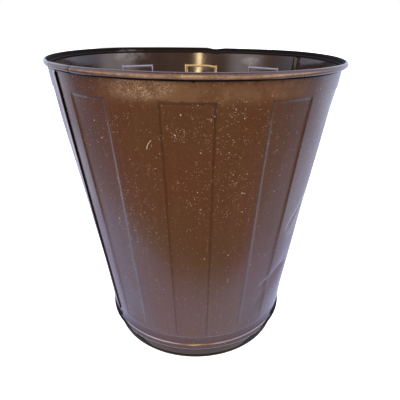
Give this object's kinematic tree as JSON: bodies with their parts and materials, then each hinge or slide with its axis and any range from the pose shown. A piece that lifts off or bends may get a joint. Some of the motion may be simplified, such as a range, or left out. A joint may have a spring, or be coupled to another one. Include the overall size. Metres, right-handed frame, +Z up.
{
  "type": "wastebasket",
  "caption": "Tapered round sheet-steel wastebasket with pressed tall panels, lock-seamed wall, wired rolled rim and a seamed-on bottom pan.",
  "frame": {"origin": "on the floor under the middle of the base", "axes": "+Z up along the basket's axis, -Y through the middle of a pressed panel of the front sheet; the lock seams are at 54 degrees to the left of -Y and straight opposite"},
  "size_m": [0.3296, 0.3296, 0.3435],
  "materials": {
    "brown_enamel": "worn satin-gloss brown enamel over sheet steel",
    "wire_steel": "bare drawn steel wire"
  },
  "bodies": {
    "root": {"front_sheet": "brown_enamel", "back_sheet": "brown_enamel", "bottom_pan": "brown_enamel", "rim_wire": "wire_steel"}
  },
  "joints": []
}
